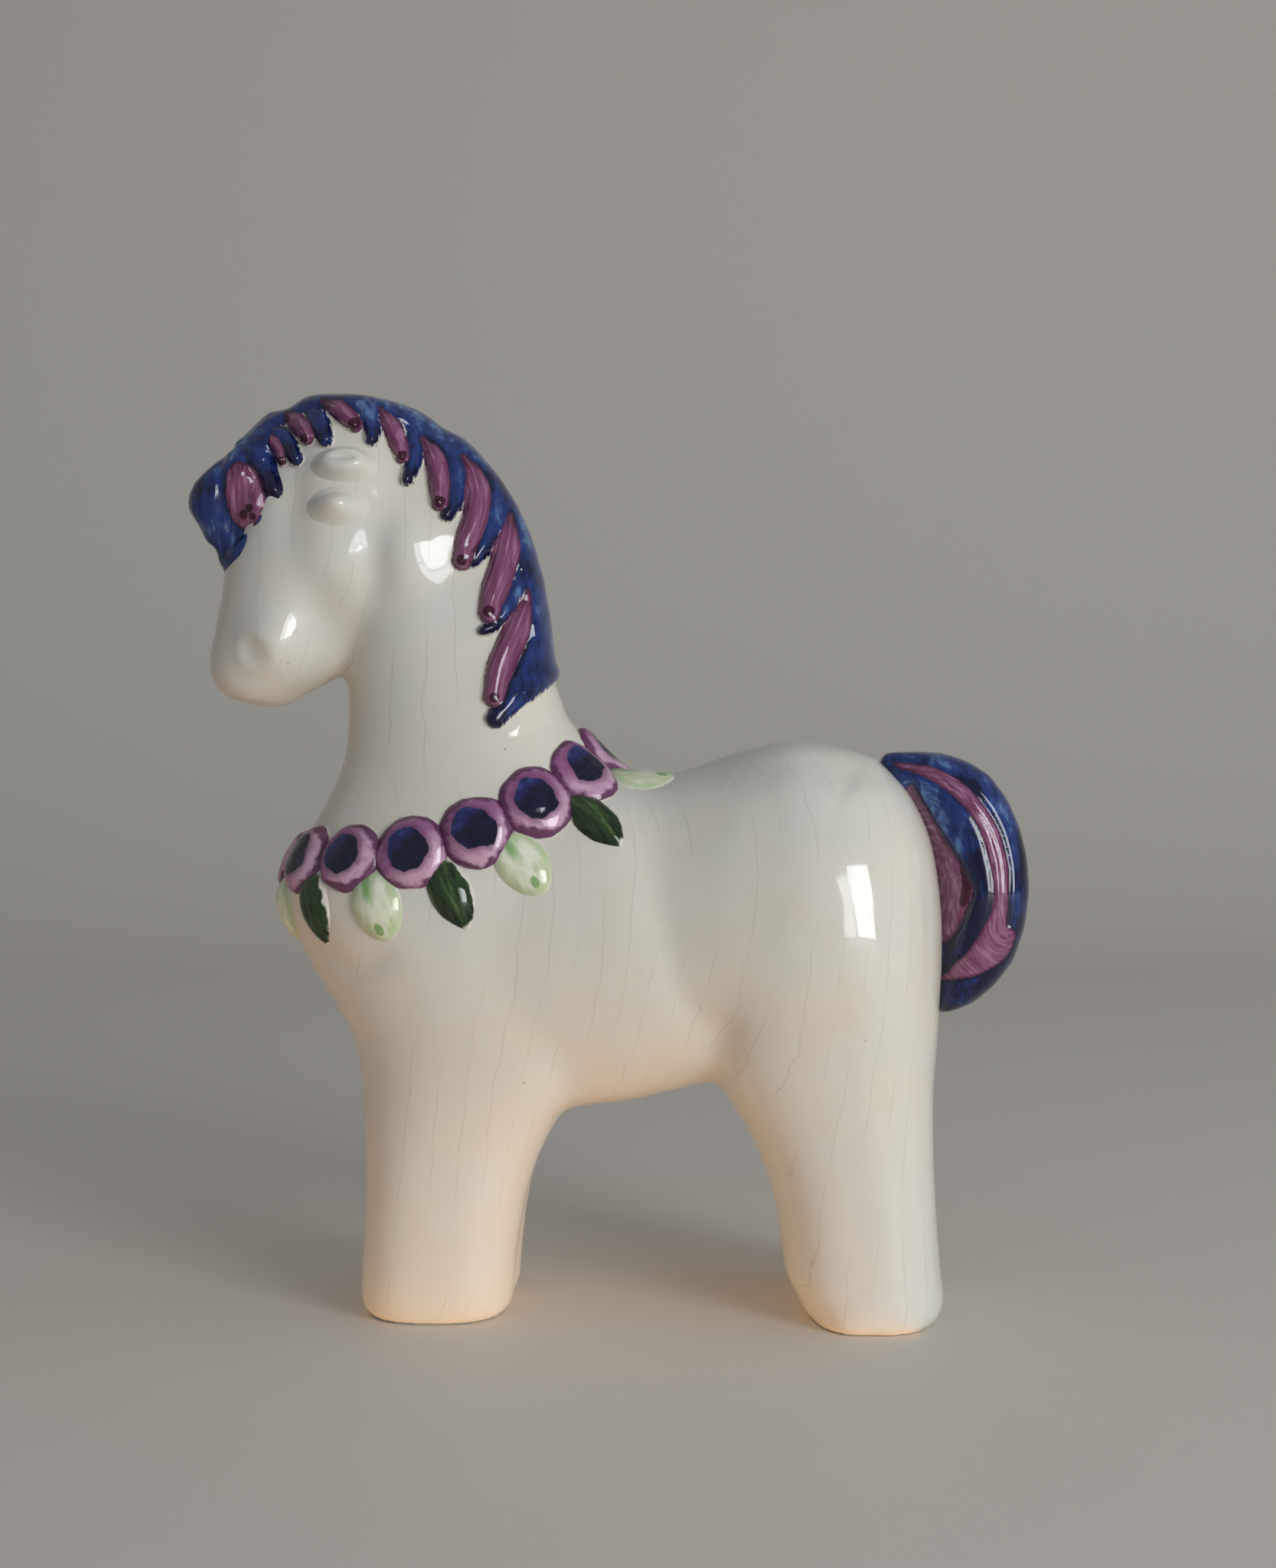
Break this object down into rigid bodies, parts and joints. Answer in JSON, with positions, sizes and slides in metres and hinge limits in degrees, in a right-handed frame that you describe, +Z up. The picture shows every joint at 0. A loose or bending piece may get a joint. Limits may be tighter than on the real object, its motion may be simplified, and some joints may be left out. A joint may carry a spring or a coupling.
{
  "type": "horse figurine",
  "caption": "Standing glazed ceramic horse with a rolled mane, a curled tail and a raised flower and leaf garland round its neck; rests flat on its feet as an ornament.",
  "frame": {"origin": "centre of the bounding box's bottom face, on the table under the horse", "axes": "+Z up, +X towards the tail, so the horse faces -X; +Y towards the horse's right side"},
  "size_m": [0.1386, 0.0508, 0.1503],
  "materials": {
    "ivory_glaze": "glossy, fine crazing",
    "hair_glaze": "glossy, brushed navy and plum",
    "flower_glaze": "glossy, brushed plum with navy middles",
    "dark_leaf_glaze": "glossy, brushed dark green",
    "pale_leaf_glaze": "glossy, thin pale green wash"
  },
  "bodies": {
    "root": {"body_left_half": "ivory_glaze", "body_right_half": "ivory_glaze", "mane": "hair_glaze", "forelock": "hair_glaze", "tail": "hair_glaze", "ear_left": "ivory_glaze", "eyelid_left": "ivory_glaze", "ear_right": "ivory_glaze", "eyelid_right": "ivory_glaze", "flower_chest": "flower_glaze", "flower_withers": "flower_glaze", "flower_left_1": "flower_glaze", "flower_right_1": "flower_glaze", "flower_left_2": "flower_glaze", "flower_right_2": "flower_glaze", "flower_left_3": "flower_glaze", "flower_right_3": "flower_glaze", "flower_left_4": "flower_glaze", "flower_right_4": "flower_glaze", "flower_left_5": "flower_glaze", "flower_right_5": "flower_glaze", "flower_left_6": "flower_glaze", "flower_right_6": "flower_glaze", "leaf_left_1": "pale_leaf_glaze", "leaf_right_1": "pale_leaf_glaze", "leaf_left_2": "dark_leaf_glaze", "leaf_right_2": "dark_leaf_glaze", "leaf_left_3": "pale_leaf_glaze", "leaf_right_3": "pale_leaf_glaze", "leaf_left_4": "dark_leaf_glaze", "leaf_right_4": "dark_leaf_glaze", "leaf_left_5": "pale_leaf_glaze", "leaf_right_5": "pale_leaf_glaze", "leaf_left_6": "dark_leaf_glaze", "leaf_right_6": "dark_leaf_glaze", "leaf_left_7": "pale_leaf_glaze", "leaf_right_7": "pale_leaf_glaze"}
  },
  "joints": []
}
